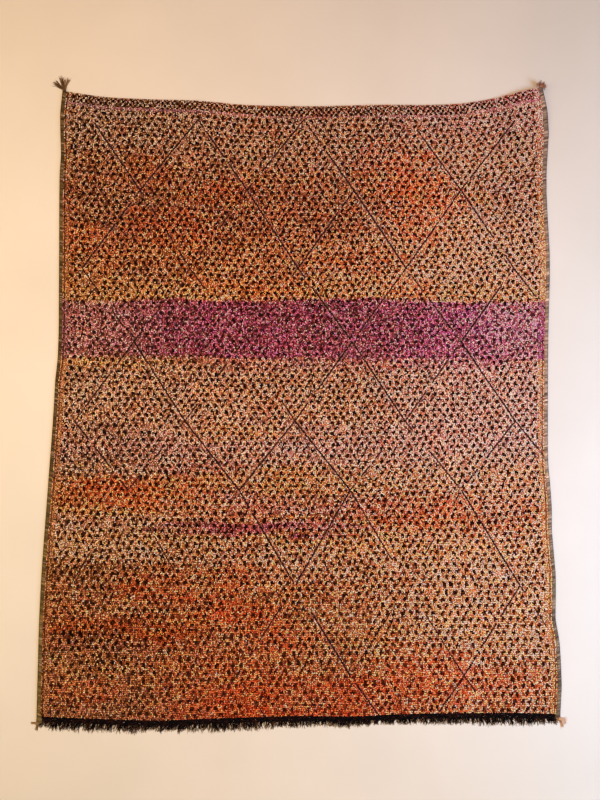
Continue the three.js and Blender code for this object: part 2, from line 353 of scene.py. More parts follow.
# Bindings: lap over the field, pitch of the wraps, and the size of each wrap's arch along and up
BINDING_OVERLAP = 6 * MM
WRAP_PITCH = 4.4 * MM
WRAP_LENGTH = 24 * MM
WRAP_HEIGHT = 14.6 * MM

# Dyes of the bindings from the far end to the near end
BINDING_DYES = {
    "left": ("dark_olive_binding", "dark_olive_binding", "olive_binding"),
    "right": ("taupe_binding", "tan_binding", "speckled_binding"),
}

# Tassels: aim, fan and rise in degrees, length in mm, locks, strands and dyes
TASSELS = [
    ("tassel_top_left", 112, 66, 0, 68, 5, 150, "tassel_olive", "tassel_tan"),
    ("tassel_top_right", 52, 150, 44, 24, 9, 170, "tassel_rose", "tassel_tan"),
    ("tassel_bottom_left", 221, 80, 0, 30, 2, 60, "tassel_tan", "olive_binding"),
    ("tassel_bottom_right", 322, 58, 0, 40, 5, 90, "tassel_orange", "cream"),
]

# A wrap round a tassel's neck: its size across, along and up
NECK_WRAP = np.array([12.5, 13, 14.5]) * MM

# Surface of all the wool
WOOL_ROUGHNESS = 0.95
WOOL_GLOSS = 0.03
WOOL_RELIEF = 0.35

# Floor: half of its side in m, and its two tones in 0 to 255
FLOOR_REACH = 6.0
FLOOR_ROUGHNESS = 0.7
FLOOR_TONES = [(232, 214, 188), (238, 220, 194)]

# Lights: place, aim, width and height, power in watts and colour
LIGHTS = [
    ("window", (3.2, -0.9, 2.4), (0.4, -0.2, 0), (2.0, 2.4), 204, (0.37, 0.59, 1.0)),
    ("warm_side", (-3.0, 0.1, 2.2), (-0.6, 0, 0), (2.4, 3.0), 69, (1.0, 0.93, 0.66)),
    ("near_fill", (0.2, -3.2, 2.4), (0, -0.4, 0), (3.0, 1.5), 31, (1.0, 0.74, 0.33)),
    ("far_fill", (-2.0, 2.4, 2.6), (-0.7, 0.5, 0), (2.0, 1.5), 15, (1.0, 0.6, 0.28)),
    ("ceiling", (0, 0.6, 3.8), (0, 0.3, 0), (2.0, 2.0), 75, (1.0, 0.65, 0.46)),
]
WORLD_LIGHT = 0.02

# Camera: distance from the middle of the rug, and angle above the floor
CAMERA_DISTANCE = 2.50
CAMERA_ELEVATION = math.radians(85.6)
FOCAL_PIXELS = 600
FRAME_LONG_SIDE = 800
SENSOR = 36


def linear(colour):
    c = np.asarray(colour, float) / 255
    return np.where(c <= 0.04045, c / 12.92, ((c + 0.055) / 1.055) ** 2.4)


DYE = {name: linear(colour) for name, colour in DYES.items()}
BRIGHTEST = linear((255, 226, 194))


def mix(a, b, share):
    share = np.asarray(share, float)
    while share.ndim < max(np.ndim(a), np.ndim(b)):
        share = share[..., None]
    return a * (1 - share) + b * share


def smooth(t):
    t = np.clip(t, 0, 1)
    return t * t * (3 - 2 * t)


def cloudy(x, y, size_x, size_y, seed):
    """Smooth seeded noise from 0 to 1, with its own grain size across and along the rug."""
    cells = 512
    grid = np.random.default_rng(seed).random((cells, cells))
    gx, gy = x / size_x + 200, y / size_y + 200
    ix, iy = np.floor(gx).astype(int), np.floor(gy).astype(int)
    fx, fy = smooth(gx - ix), smooth(gy - iy)
    ix, iy = ix % (cells - 1), iy % (cells - 1)
    low = grid[ix, iy] * (1 - fx) + grid[ix + 1, iy] * fx
    high = grid[ix, iy + 1] * (1 - fx) + grid[ix + 1, iy + 1] * fx
    return low * (1 - fy) + high * fy


# Outline of the field and its bindings, read from the frame

def mesh_points(mesh):
    points = np.empty(len(mesh.vertices) * 3, np.float32)
    mesh.vertices.foreach_get("co", points)
    return points.reshape(-1, 3)


def node_edges(name):
    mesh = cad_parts[name].data
    ends = np.empty(len(mesh.edges) * 2, np.int32)
    mesh.edges.foreach_get("vertices", ends)
    return mesh_points(mesh).astype(float)[ends].reshape(-1, 2, 3)


def farthest(edges, along, places, pick):
    """Lowest or highest value across the rug, where edges cross each place along it."""
    a, b = edges[:, 0, along], edges[:, 1, along]
    across = 1 - along
    found = []
    for place in places:
        crossed = (np.minimum(a, b) <= place) & (place <= np.maximum(a, b)) & (np.abs(b - a) > 1e-7)
        share = (place - a[crossed]) / (b - a)[crossed]
        values = edges[crossed, 0, across] * (1 - share) + edges[crossed, 1, across] * share
        found.append(pick(values))
    return np.array(found)


def curve(places, values):
    return lambda at: np.interp(at, places, values)


def side_lines(name, inner, outer):
    """Inner and outer line of a binding, as curves of the place along the rug."""
    low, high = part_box(name)
    places = np.linspace(low.y + 1e-4, high.y - 1e-4, 160)
    edges = node_edges(name)
    return [curve(places, farthest(edges, 1, places, pick)) for pick in (inner, outer)]


left_inner, left_outer = side_lines("selvedge_left", np.max, np.min)
right_inner, right_outer = side_lines("selvedge_right", np.min, np.max)
FIELD_LOW, FIELD_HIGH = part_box("rug_field")
field_edges = node_edges("rug_field")
NEAR_X = (float(left_inner(FIELD_LOW.y)) + 1 * MM, float(right_inner(FIELD_LOW.y)) - 1 * MM)
FAR_X = (float(left_inner(FIELD_HIGH.y)) + 1 * MM, float(right_inner(FIELD_HIGH.y)) - 1 * MM)
near_places = np.linspace(*NEAR_X, 160)
far_places = np.linspace(*FAR_X, 160)
near_line = curve(near_places, farthest(field_edges, 0, near_places, np.min))
far_line = curve(far_places, farthest(field_edges, 0, far_places, np.max))


def on_field(across, along):
    """Place on the field from its shares of the width and the length, and its distance from an end."""
    near = near_line(NEAR_X[0] + (NEAR_X[1] - NEAR_X[0]) * across)
    far = far_line(FAR_X[0] + (FAR_X[1] - FAR_X[0]) * across)
    y = near + (far - near) * along
    left, right = left_inner(y), right_inner(y)
    return left + (right - left) * across, y, (far - near) * np.minimum(along, 1 - along)


def curl(x, y):
    near = np.clip(1 - np.hypot(x - CURL_X, y - CURL_Y) / CURL_REACH, 0, 1)
    return CURL_HEIGHT * near * near * (3 - 2 * near)


def lumps(x, y):
    """Slight unevenness of the pile below."""
    broad = np.sin(x / 0.171 + 0.7) * np.cos(y / 0.213 - 0.4)
    fine = np.sin(x / 0.083 - y / 0.127) * np.cos(y / 0.097 + x / 0.260)
    return 0.9 * MM * (broad + fine)


def surface(x, y, from_end):
    """Height of the woven ground that the knots sit on."""
    drop = END_DROP * (1 - smooth(from_end / END_ROUNDING))
    return curl(x, y) + GROUND_HEIGHT + lumps(x, y) - drop


# Dyeing

def thirds(x, left, middle, right):
    """Blends a value of the left, middle and right thirds by the place across."""
    shift = (x + RUG_WIDTH / 2) / RUG_WIDTH
    to_middle, to_right = smooth((shift - 0.14) / 0.3), smooth((shift - 0.56) / 0.3)
    if np.ndim(left):
        to_middle, to_right = to_middle[:, None], to_right[:, None]
    return mix(mix(left, middle, to_middle), right, to_right)


def ground_colour(x, y):
    """Dyed wool at each place: uneven bands along the wefts, with patches of other yarns, lightened towards
    the right partly by sun bleaching and partly as painted window sheen.
    """
    broad = 26 * MM * (cloudy(x, y, 0.28, 0.02, 11) - 0.5)
    fine = 12 * MM * (cloudy(x, y, 0.05, 0.012, 12) - 0.5)
    at = y + (broad + fine)
    places = np.array([band[0] for band in ABRASH])[::-1] * MM
    columns = []
    for third in (1, 2, 3):
        dyes = np.array([DYE[band[third]] for band in ABRASH])[::-1]
        columns.append(np.stack([np.interp(at, places, dyes[:, c]) for c in range(3)], -1))
    colour = thirds(x, *columns)
    for i, (cx, cy, half_x, half_y, dye, strength) in enumerate(PATCHES):
        far = np.hypot((x - cx * MM) / (half_x * MM), (at - cy * MM) / (half_y * MM))
        torn = cloudy(x, y, 0.09, 0.014, 30 + i) - 0.5
        colour = mix(colour, DYE[dye], strength * smooth((1.25 - far + 0.9 * torn) / 0.7))
    in_purple = (at >= PURPLE_GROUND[0]) & (at <= PURPLE_GROUND[1])
    streaky = np.where(in_purple, 0.15, 1.0)
    faded = 0.75 * smooth((-0.5 - x) / 0.4) + 0.5 * smooth((x - 0.7) / 0.25)
    colour = mix(colour, DYE["faded_mauve"], faded * in_purple)
    for dye, size_x, size_y, share, strength, seed in STREAKS:
        streak = strength * smooth((cloudy(x, y, size_x, size_y, seed) - 1 + share) / 0.2)
        if dye:
            colour = mix(colour, DYE[dye], streak * streaky)
        else:
            colour = mix(colour, colour * 0.55, streak)
    # Lightened by third: partly sun bleaching, partly painted sheen of the window light on the right
    return colour * mix(thirds(x, *FADE_AND_WINDOW_SHEEN), thirds(x, *PURPLE_FADE_AND_WINDOW_SHEEN), in_purple)


def dot_contrast(x, y):
    """How plainly the dark dots show at each place, from 0 to 1."""
    places = np.array([row[0] for row in DOT_CONTRAST])[::-1] * MM
    values = [np.interp(y, places, np.array([row[i] for row in DOT_CONTRAST])[::-1]) for i in (1, 2, 3)]
    contrast = thirds(x, *[value[:, None] for value in values])[:, 0]
    for cx, cy, half_x, half_y, more in CROWDED:
        far = np.hypot((x - cx * MM) / (half_x * MM), (y - cy * MM) / (half_y * MM))
        contrast = contrast + more * smooth((1.3 - far) / 0.6)
    return np.minimum(contrast, 1)


# Knots

def knot_rows():
    """Share of the length at each row of knots, closer where the weaver beat harder."""
    start, end = float(near_line(0)), float(far_line(0))
    places = [start]
    while places[-1] < end:
        places.append(places[-1] + float(np.interp(places[-1], REPEAT_Y, REPEAT_LENGTH)) / DOT_ROWS)
    places = np.array(places)
    return (places - places[0]) / (places[-1] - places[0])


def nearest_dot(column, row):
    """Each loop's reach in its nearest dot's diamond, offsets from that dot's middle, and its number."""
    best = None
    for middle_column, middle_row, half in ((1, 2, 0), (4, 6, 1)):
        step_c = np.floor((column - middle_column) / DOT_COLUMNS + 0.5)
        step_r = np.floor((row - middle_row) / DOT_ROWS + 0.5)
        dc = column - middle_column - step_c * DOT_COLUMNS
        dr = row - middle_row - step_r * DOT_ROWS
        number = ((step_c + 2) * 200 + step_r * 2 + half + 4).astype(int)
        found = (2 * np.abs(dc) / DOT_COLUMNS + 2 * np.abs(dr) / DOT_ROWS, dc, dr, number)
        if best is None:
            best = found
        else:
            closer = found[0] < best[0]
            best = tuple(np.where(closer, new, old) for new, old in zip(found, best))
    return best


def charted(shape, dc, dr, mark):
    """Where the dot's chart has this mark, at offsets from its middle."""
    charts = np.array([[[cell == mark for cell in line] for line in chart] for chart in DOT_SHAPES])
    near = (np.abs(dc) <= 1) & (np.abs(dr) <= 1)
    line, cell = np.clip(1 - dr, 0, 2).astype(int), np.clip(dc + 1, 0, 2).astype(int)
    return near & charts[shape, line, cell]


def lozenge_ends():
    """Ends and strength of each dark line between the lozenges' meetings."""
    lines = []
    for i, (upper, lower) in enumerate(zip(LOZENGES, LOZENGES[1:])):
        for j, strengths in enumerate(zip(FALLING_RIGHT[i], FALLING_LEFT[i])):
            place = 2 * j + i % 2 - 4
            x0 = (upper[1] + place * LOZENGE_PITCH) * MM
            for strength, step in zip(strengths, (1, -1)):
                if strength > 0:
                    x1 = (lower[1] + (place + step) * LOZENGE_PITCH) * MM
                    lines.append((x0, upper[0] * MM, x1, lower[0] * MM, strength))
    return np.array(lines)


LINES = lozenge_ends()


def line_wear(x, y, strength):
    """Where a lozenge line of this strength still shows."""
    return cloudy(x, y, 0.045, 0.045, 91) < 0.2 + 0.64 * strength


def near_lines(x, y):
    """On a lozenge line, and beside one."""
    on, beside = np.zeros_like(x), np.zeros_like(x)
    for x0, y0, x1, y1, strength in LINES:
        dx, dy = x1 - x0, y1 - y0
        length = math.hypot(dx, dy)
        along = ((x - x0) * dx + (y - y0) * dy) / length
        aside = np.abs((x - x0) * dy - (y - y0) * dx) / length
        shown = strength * ((along > 0) & (along < length) & line_wear(x, y, strength))
        on = np.maximum(on, shown * (aside < LINE_HALF_WIDTH))
        beside = np.maximum(beside, shown * (aside >= LINE_HALF_WIDTH) * (aside < LINE_MARGIN))
    return on, beside


def make_knots():
    """Place, turn, size and dye of every yarn loop."""
    rng = np.random.default_rng(1907)
    shares = knot_rows()
    column, row = np.meshgrid(np.arange(LOOP_COLUMNS), np.arange(len(shares) - 1), indexing="ij")
    column, row = column.ravel(), row.ravel()
    count = len(column)
    along = (shares[row] + shares[row + 1]) / 2
    x, y, from_end = on_field((column + 0.5) / LOOP_COLUMNS, along)
    length = far_line(x) - near_line(x)

    drift = np.round(3.2 * (cloudy(x, y, 0.16, 0.09, 21) - 0.5)).astype(int)
    reach, dc, dr, dot = nearest_dot(column, row + drift)
    draw = np.random.default_rng(77).random((dot.max() + 1, 4))[dot]
    shape = np.floor(draw[:, 0] * len(DOT_SHAPES)).astype(int)
    patchy = smooth(1.8 * cloudy(x, y, 0.09, 0.035, 92) - 0.3)
    contrast = dot_contrast(x, y)
    contrast = contrast * (1 - 0.75 * (1 - contrast) * (1 - patchy)) + 0.25 * (1 - contrast) * patchy
    # Paler, creamier wool towards the right: partly sun fading, partly painted glare of the window light
    fade_and_window_glare = smooth((x + 0.15) / 1.3)
    plain_edge = np.minimum(column, LOOP_COLUMNS - 1 - column) < PLAIN_EDGE_COLUMNS
    aside = np.round(1.6 * (draw[:, 3] - 0.5))
    tied = draw[:, 1] < 0.6 + 0.4 * contrast
    is_dot = charted(shape, dc + aside, dr, "X") & tied
    is_pale = charted(shape, dc + aside, dr, "o") & tied

    # Dense dark knots run along the far end, with a pale row below them
    from_far = (1 - along) * length
    staggered = (column + 2 * (row // 2 % 2)) % 4 < 2
    far_dot = staggered & (rng.random(count) < 0.8) & (from_far > FAR_MARGIN)
    is_dot = np.where(from_far < FAR_ROWS, far_dot, is_dot)
    pale_row = (from_far > FAR_ROWS) & (from_far < PALE_ROW_END)
    is_dot &= ~pale_row & ~plain_edge

    # The slanting net between the dots is lighter, and the wool close to a dot darker as painted shade
    # beside the raised dots
    base = ground_colour(x, y)
    in_purple = (y > PURPLE_KNOTS[0]) & (y < PURPLE_KNOTS[1])
    net = smooth((reach - 0.42) / 0.3)
    colour = base * (NEAR_DOT_PAINTED_SHADE + (NET_LIGHT - NEAR_DOT_PAINTED_SHADE) * net[:, None])
    colour = mix(colour, DYE["bleached"], (0.02 + 0.14 * net) * (0.1 + 0.9 * fade_and_window_glare))
    yarn = rng.random(count)
    colour = mix(colour, DYE["gold"], 0.2 * (yarn < 0.1) * ~in_purple)
    colour = mix(colour, DYE["rust"], 0.15 * (yarn > 0.86) * ~in_purple)
    colour = mix(colour, DYE["bleached"], 0.3 * (yarn < 0.2) * in_purple)
    tone = np.clip(rng.standard_normal(count), -2.2, 1.6)
    tone *= np.where(in_purple, 1, 0.6 + 0.4 * dot_contrast(x, y))
    warm_edge = plain_edge * smooth((0.84 - y) / 0.06)
    purple_edge = thirds(x, DYE["faded_mauve"], DYE["purple"], 1.4 * DYE["magenta"])
    # Brighter towards the right: partly fading, partly painted sheen of the window light, as for the
    # field's thirds
    orange_edge = 1.5 * DYE["edge_orange"] * thirds(x, 0.75, 1.0, 1.35)[:, None]
    edge_dye = np.where(in_purple[:, None], purple_edge, orange_edge)
    colour = mix(colour, edge_dye, 0.6 * warm_edge)
    colour = colour * np.exp(np.outer(tone * (1 - 0.45 * warm_edge), TONE_SPREAD))
    colour *= np.exp(np.outer(rng.standard_normal(count), (0, 0, 0.25)))
    colour = mix(colour, DYE["orchid"], 0.55 * pale_row * (0.6 + 0.4 * rng.random(count)))
    # Cream flecks, more and paler towards the right: partly pale yarn, partly painted glints on the loops
    cream_fleck_and_glint = rng.random(count) < 0.02 + 0.08 * fade_and_window_glare + 0.05 * in_purple
    colour = mix(colour, DYE["cream"], cream_fleck_and_glint * (0.45 + 0.4 * fade_and_window_glare))
    colour = mix(colour, DYE["dark_brown"], 0.9 * (rng.random(count) < 0.14 - 0.07 * fade_and_window_glare))

    on_line, beside_line = near_lines(x, y)
    colour = mix(colour, DYE["bleached"], 0.4 * beside_line * (0.5 + 0.5 * fade_and_window_glare))
    ink = np.where(draw[:, 2:3] < 0.15, 0.2 * DYE["ink_green"], DYE["ink_brown"])
    ink = np.where(draw[:, 2:3] > 0.9, 0.2 * DYE["ink_blue"], ink)
    ink = ink * np.exp(0.4 * rng.standard_normal((count, 1)))
    depth = np.clip(0.25 + contrast + 0.3 * (rng.random(count) - 0.5), 0, 1)
    colour = mix(colour, mix(colour * 0.25, ink, depth), is_dot & (beside_line < 0.4))
    colour = mix(colour, DYE["cream"], is_pale * (0.3 + 0.4 * fade_and_window_glare) * (rng.random(count) < 0.75))
    colour = mix(colour, DYE["near_black"], on_line)

    # Painted shade: a column of knots by each binding darkened, as the shadowed groove between binding and
    # field
    painted_groove_shade = np.where(x < 0, column == 1, (column == LOOP_COLUMNS - 2) & (y < 0.2))
    colour = mix(colour, colour * 0.3, painted_groove_shade)

    # The brightest loops turn to cream instead of yellow
    colour = mix(colour, DYE["cream"], np.clip(0.05 * (colour.max(1) - 1.5), 0, 0.15))
    colour = np.minimum(colour, BRIGHTEST)

    # Loops slant along the net, and round each dot
    slant = np.degrees(np.arctan2(DOT_ROWS * ROW_STEP_MM, DOT_COLUMNS * COLUMN_STEP_MM))
    lean = np.where(dc * dr == 0, np.where(dr == 0, 90, 20), -slant * np.sign(dc * dr))
    lean = np.where(rng.random(count) < 0.3, -lean, lean) + 14 * rng.standard_normal(count)
    height = surface(x, y, from_end) + (DOT_RISE_MM * is_dot - LOOP_SINK_MM) * MM
    place = np.stack([x, y, height], -1)
    place[:, :2] += 0.8 * MM * rng.standard_normal((count, 2))
    size = np.tile(np.array([LOOP_LENGTH, LOOP_WIDTH, LOOP_HEIGHT]), (count, 1))
    size *= 1 + 0.1 * rng.standard_normal((count, 3))
    size[is_dot] *= DOT_SWELL
    size[:, 2] *= 1 - 0.5 * (on_line > 0.3)
    return place, turned(np.radians(lean)), np.clip(size, 0.5 * MM, 14 * MM), colour


# Meshes from points

def in_scene(name, data):
    thing = bpy.data.objects.new(name, data)
    bpy.context.scene.collection.objects.link(thing)
    return thing


def new_piece(name, points, edges=(), faces=()):
    mesh = bpy.data.meshes.new(name)
    mesh.from_pydata(np.asarray(points).tolist(), list(edges), list(faces))
    mesh.update()
    return in_scene(name, mesh)


def write_attribute(piece, name, kind, values):
    attribute = piece.data.attributes.new(name=name, type=kind, domain="POINT")
    field = {"FLOAT_COLOR": "color", "FLOAT_VECTOR": "vector", "FLOAT": "value"}[kind]
    if kind == "FLOAT_COLOR":
        values = np.concatenate([values, np.ones((len(values), 1))], 1)
    attribute.data.foreach_set(field, np.ascontiguousarray(values, np.float32).ravel())


def turned(angle):
    """Turns by these angles about the upright axis."""
    turn = np.zeros((len(angle), 3))
    turn[:, 2] = angle
    return turn


def cloud(name, place, turn, size, colour):
    """Loose points that carry a turn, a size and a dye each."""
    piece = new_piece(name, place)
    write_attribute(piece, "turn", "FLOAT_VECTOR", turn)
    write_attribute(piece, "size", "FLOAT_VECTOR", size)
    write_attribute(piece, "dye", "FLOAT_COLOR", colour)
    return piece


# Geometry node trees

def node_tree(name, inputs):
    tree = bpy.data.node_groups.new(name, "GeometryNodeTree")
    tree.interface.new_socket("Geometry", in_out="INPUT", socket_type="NodeSocketGeometry")
    for label, kind, value in inputs:
        socket = tree.interface.new_socket(label, in_out="INPUT", socket_type=kind)
        if value is not None:
            socket.default_value = value
    tree.interface.new_socket("Geometry", in_out="OUTPUT", socket_type="NodeSocketGeometry")
    return tree, tree.nodes.new("NodeGroupInput"), tree.nodes.new("NodeGroupOutput")


def add(tree, kind, settings=None, **inputs):
    """Adds a node. Inputs go by socket name, or as i0, i1 by number; a node gives its first result."""
    node = tree.nodes.new(kind)
    for key, value in (settings or {}).items():
        setattr(node, key, value)
    for key, value in inputs.items():
        numbered = key[0] == "i" and key[1:].isdigit()
        socket = node.inputs[int(key[1:])] if numbered else node.inputs[key.replace("_", " ")]
        if isinstance(value, bpy.types.Node):
            value = value.outputs[0]
        if isinstance(value, bpy.types.NodeSocket):
            tree.links.new(value, socket)
        else:
            socket.default_value = value
    return node


def placed_copies(tree, start, shape):
    """Smooth copies of a shape on the points, turned and sized by the points' attributes."""
    soft = add(tree, "GeometryNodeSetShadeSmooth", Geometry=shape)
    turn = add(tree, "GeometryNodeInputNamedAttribute", {"data_type": "FLOAT_VECTOR"}, Name="turn")
    size = add(tree, "GeometryNodeInputNamedAttribute", {"data_type": "FLOAT_VECTOR"}, Name="size")
    rotation = add(tree, "FunctionNodeEulerToRotation", Euler=turn)
    points = add(tree, "GeometryNodeMeshToPoints", Mesh=start)
    return add(tree, "GeometryNodeInstanceOnPoints", Points=points, Instance=soft,
               Rotation=rotation, Scale=size)


def end_tree(tree, start, end, geometry):
    """Ends a tree with its copies made real and in their wool."""
    real = add(tree, "GeometryNodeRealizeInstances", Geometry=geometry)
    done = add(tree, "GeometryNodeSetMaterial", Geometry=real, Material=start.outputs["Wool"])
    tree.links.new(done.outputs["Geometry"], end.inputs["Geometry"])
    return tree


def knot_tree():
    """A knot's back: a low bump of yarn, one unit across, sized by each point."""
    tree, start, end = node_tree("knots_on_ground", [
        ("Sides", "NodeSocketInt", 4),
        ("Wool", "NodeSocketMaterial", None),
    ])
    disc = add(tree, "GeometryNodeMeshCircle", {"fill_type": "TRIANGLE_FAN"},
               Vertices=start.outputs["Sides"], Radius=0.5)
    position = add(tree, "GeometryNodeInputPosition")
    away = add(tree, "ShaderNodeVectorMath", {"operation": "LENGTH"}, i0=position)
    height = add(tree, "ShaderNodeMath", {"operation": "MULTIPLY_ADD"}, i0=away.outputs["Value"],
                 i1=-2.0, i2=1.0)
    lift = add(tree, "ShaderNodeCombineXYZ", Z=height)
    bump = add(tree, "GeometryNodeSetPosition", Geometry=disc, Offset=lift)
    return end_tree(tree, start, end, placed_copies(tree, start, bump))


def wrap_tree():
    """One overcast wrap of binding yarn: an arch over the edge, one unit wide."""
    tree, start, end = node_tree("overcast_wraps", [
        ("Steps", "NodeSocketInt", 7),
        ("Yarn", "NodeSocketFloat", 0.13),
        ("Wool", "NodeSocketMaterial", None),
    ])
    arch = add(tree, "GeometryNodeCurveArc", {"mode": "RADIUS"}, Resolution=start.outputs["Steps"],
               Radius=0.5, Sweep_Angle=math.pi)
    upright = add(tree, "GeometryNodeTransform", Geometry=arch, Rotation=(math.pi / 2, 0, 0))
    section = add(tree, "GeometryNodeCurvePrimitiveCircle", {"mode": "RADIUS"}, Resolution=5,
                  Radius=start.outputs["Yarn"])
    yarn = add(tree, "GeometryNodeCurveToMesh", Curve=upright, Profile_Curve=section, Fill_Caps=True)
    return end_tree(tree, start, end, placed_copies(tree, start, yarn))


def strand_tree():
    """Strands that follow chains of edges, as thick as their attribute says."""
    tree, start, end = node_tree("strands_on_paths", [
        ("Sides", "NodeSocketInt", 3),
        ("Wool", "NodeSocketMaterial", None),
    ])
    thick = add(tree, "GeometryNodeInputNamedAttribute", {"data_type": "FLOAT"}, Name="thickness")
    paths = add(tree, "GeometryNodeMeshToCurve", Mesh=start)
    section = add(tree, "GeometryNodeCurvePrimitiveCircle", {"mode": "RADIUS"},
                  Resolution=start.outputs["Sides"], Radius=1.0)
    strands = add(tree, "GeometryNodeCurveToMesh", Curve=paths, Profile_Curve=section, Scale=thick,
                  Fill_Caps=True)
    return end_tree(tree, start, end, add(tree, "GeometryNodeSetShadeSmooth", Geometry=strands))


def grown(piece, tree, **inputs):
    """The piece with the tree's result as its plain mesh."""
    modifier = piece.modifiers.new("growth", "NODES")
    modifier.node_group = tree
    for socket in tree.interface.items_tree:
        if socket.in_out == "INPUT" and socket.name in inputs:
            modifier[socket.identifier] = inputs[socket.name]
    evaluated = piece.evaluated_get(bpy.context.evaluated_depsgraph_get())
    mesh = bpy.data.meshes.new_from_object(evaluated)
    piece.modifiers.remove(modifier)
    piece.data = mesh
    mesh.name = piece.name
    return piece


def joined(name, pieces):
    """Several meshes as one piece."""
    with bpy.context.temp_override(active_object=pieces[0], selected_editable_objects=pieces,
                                   selected_objects=pieces):
        bpy.ops.object.join()
    pieces[0].name = name
    pieces[0].data.name = name
    return pieces[0]


def map_from_above(piece):
    """A map of the piece as seen from above, which suits knots that all face up."""
    mesh = piece.data
    at = np.empty(len(mesh.loops), np.int32)
    mesh.loops.foreach_get("vertex_index", at)
    corners = mesh_points(mesh)[at, :2]
    low, high = corners.min(0), corners.max(0)
    flat = 0.004 + 0.992 * (corners - low) / (high - low)
    layer = mesh.uv_layers.new(name="OFBake")
    layer.uv.foreach_set("vector", flat.astype(np.float32).ravel())


# Wool materials

def new_material(name, roughness):
    """A material with its node tree, its shader and the place on the piece."""
    material = bpy.data.materials.new(name)
    material.use_nodes = True
    tree = material.node_tree
    shader = tree.nodes["Principled BSDF"]
    shader.inputs["Roughness"].default_value = roughness
    return material, tree, shader, add(tree, "ShaderNodeTexCoord").outputs["Object"]


def wool(name, fibre=900.0, twist=420.0, dark=0.72, light=1.22):
    """Dyed wool: the piece's own dye, broken up by fibres, wear and the twist of its yarn."""
    material, tree, shader, place = new_material(name, WOOL_ROUGHNESS)
    shader.inputs["Specular IOR Level"].default_value = WOOL_GLOSS
    dye = add(tree, "ShaderNodeAttribute", {"attribute_name": "dye"})
    fibres = add(tree, "ShaderNodeTexNoise", Vector=place, Scale=fibre, Detail=3.0, Roughness=0.6)
    yarn = add(tree, "ShaderNodeTexWave", {"bands_direction": "DIAGONAL"}, Vector=place, Scale=twist,
               Distortion=3.0, Detail=1.0)
    worn = add(tree, "ShaderNodeTexNoise", Vector=place, Scale=14.0, Detail=4.0, Roughness=0.55)
    shade = add(tree, "ShaderNodeMapRange", Value=fibres, From_Min=0.3, From_Max=0.7,
                To_Min=dark, To_Max=light)
    wear = add(tree, "ShaderNodeMapRange", Value=worn, From_Min=0.3, From_Max=0.7, To_Min=0.9, To_Max=1.08)
    both = add(tree, "ShaderNodeMath", {"operation": "MULTIPLY"}, i0=shade, i1=wear)
    tinted = add(tree, "ShaderNodeVectorMath", {"operation": "SCALE"}, i0=dye, Scale=both)
    tree.links.new(tinted.outputs["Vector"], shader.inputs["Base Color"])
    height = add(tree, "ShaderNodeMath", {"operation": "ADD"}, i0=fibres, i1=yarn.outputs["Fac"])
    bump = add(tree, "ShaderNodeBump", Height=height, Strength=WOOL_RELIEF, Distance=0.6 * MM)
    tree.links.new(bump.outputs["Normal"], shader.inputs["Normal"])
    return material


# Pieces

def make_ground_cloth(material):
    """Woven ground with the pile pressed flat below it, as one closed slab in the colours of its knots, its
    upper side darkened as dark weft and painted shade between the loops.
    """
    columns, rows = 96, 124
    share = np.linspace(-1, 1, rows + 1)
    closer_at_ends = np.sin(share * math.pi / 2) * (0.8 + 0.2 * np.abs(share))
    u, v = np.meshgrid(np.linspace(0, 1, columns + 1), 0.5 + 0.5 * closer_at_ends)
    x, y, from_end = on_field(u, v)
    top = np.stack([x, y, surface(x, y, from_end)], -1).reshape(-1, 3)
    under = np.stack([x, y, curl(x, y)], -1).reshape(-1, 3)
    count = len(top)
    at = np.arange(count).reshape(rows + 1, columns + 1)
    a, b, c, d = at[:-1, :-1], at[:-1, 1:], at[1:, 1:], at[1:, :-1]
    rim = np.concatenate([at[0, :-1], at[:-1, -1], at[-1, :0:-1], at[:0:-1, 0]])
    after = np.roll(rim, -1)
    quads = [
        np.stack([a, b, c, d], -1).reshape(-1, 4),
        np.stack([a, d, c, b], -1).reshape(-1, 4) + count,
        np.stack([rim + count, after + count, after, rim], -1),
    ]
    piece = new_piece("ground_cloth", np.concatenate([top, under]), faces=np.concatenate(quads).tolist())
    dye = ground_colour(x.ravel(), y.ravel())
    write_attribute(piece, "dye", "FLOAT_COLOR", np.concatenate([dye * GROUND_DYE_AND_GAP_SHADE, dye * PILE_SHADE]))
    piece.data.materials.append(material)
    piece.data.shade_smooth()
    return piece


def make_knot_strips(tree, material):
    place, turn, size, colour = make_knots()
    strips = []
    for name, high, low in STRIPS:
        inside = (place[:, 1] < high) & (place[:, 1] >= low)
        piece = cloud(name, place[inside], turn[inside], size[inside], colour[inside])
        strips.append(grown(piece, tree, Wool=material))
        map_from_above(piece)
    return strips


def make_lozenge_lines(tree, material):
    """Dark knots in thin slanting lines, worn away in places."""
    rng = np.random.default_rng(53)
    rows = []
    for x0, y0, x1, y1, strength in LINES:
        steps = int(math.hypot(x1 - x0, y1 - y0) / LINE_STEP)
        share = (np.arange(steps) + 0.5) / steps
        x, y = x0 + (x1 - x0) * share, y0 + (y1 - y0) * share
        kept = line_wear(x, y, strength)
        kept &= (y > near_line(x) + 6 * MM) & (y < far_line(x) - 60 * MM)
        kept &= (x > left_inner(y) + 26 * MM) & (x < right_inner(y) - 26 * MM)
        x, y = x[kept], y[kept]
        count = len(x)
        heading = math.atan2(y1 - y0, x1 - x0)
        place = np.stack([x, y, surface(x, y, 1.0) + 0.9 * MM], -1)
        place += rng.normal(0, 0.7 * MM, (count, 3)) * (1, 1, 0)
        turn = turned(heading + rng.normal(0, 0.12, count))
        size = np.array([9.0, 2.6 + 4.8 * strength, 4.0]) * MM * rng.normal(1, 0.06, (count, 3))
        ink = mix(DYE["dark_brown"], DYE["near_black"], 0.6 * strength)
        rows.append((place, turn, size, ink * rng.uniform(0.7, 1.5, (count, 1))))
    columns = [np.concatenate(column) for column in zip(*rows)]
    piece = grown(cloud("lozenge_lines", *columns), tree, Wool=material, Sides=6)
    map_from_above(piece)
    return piece


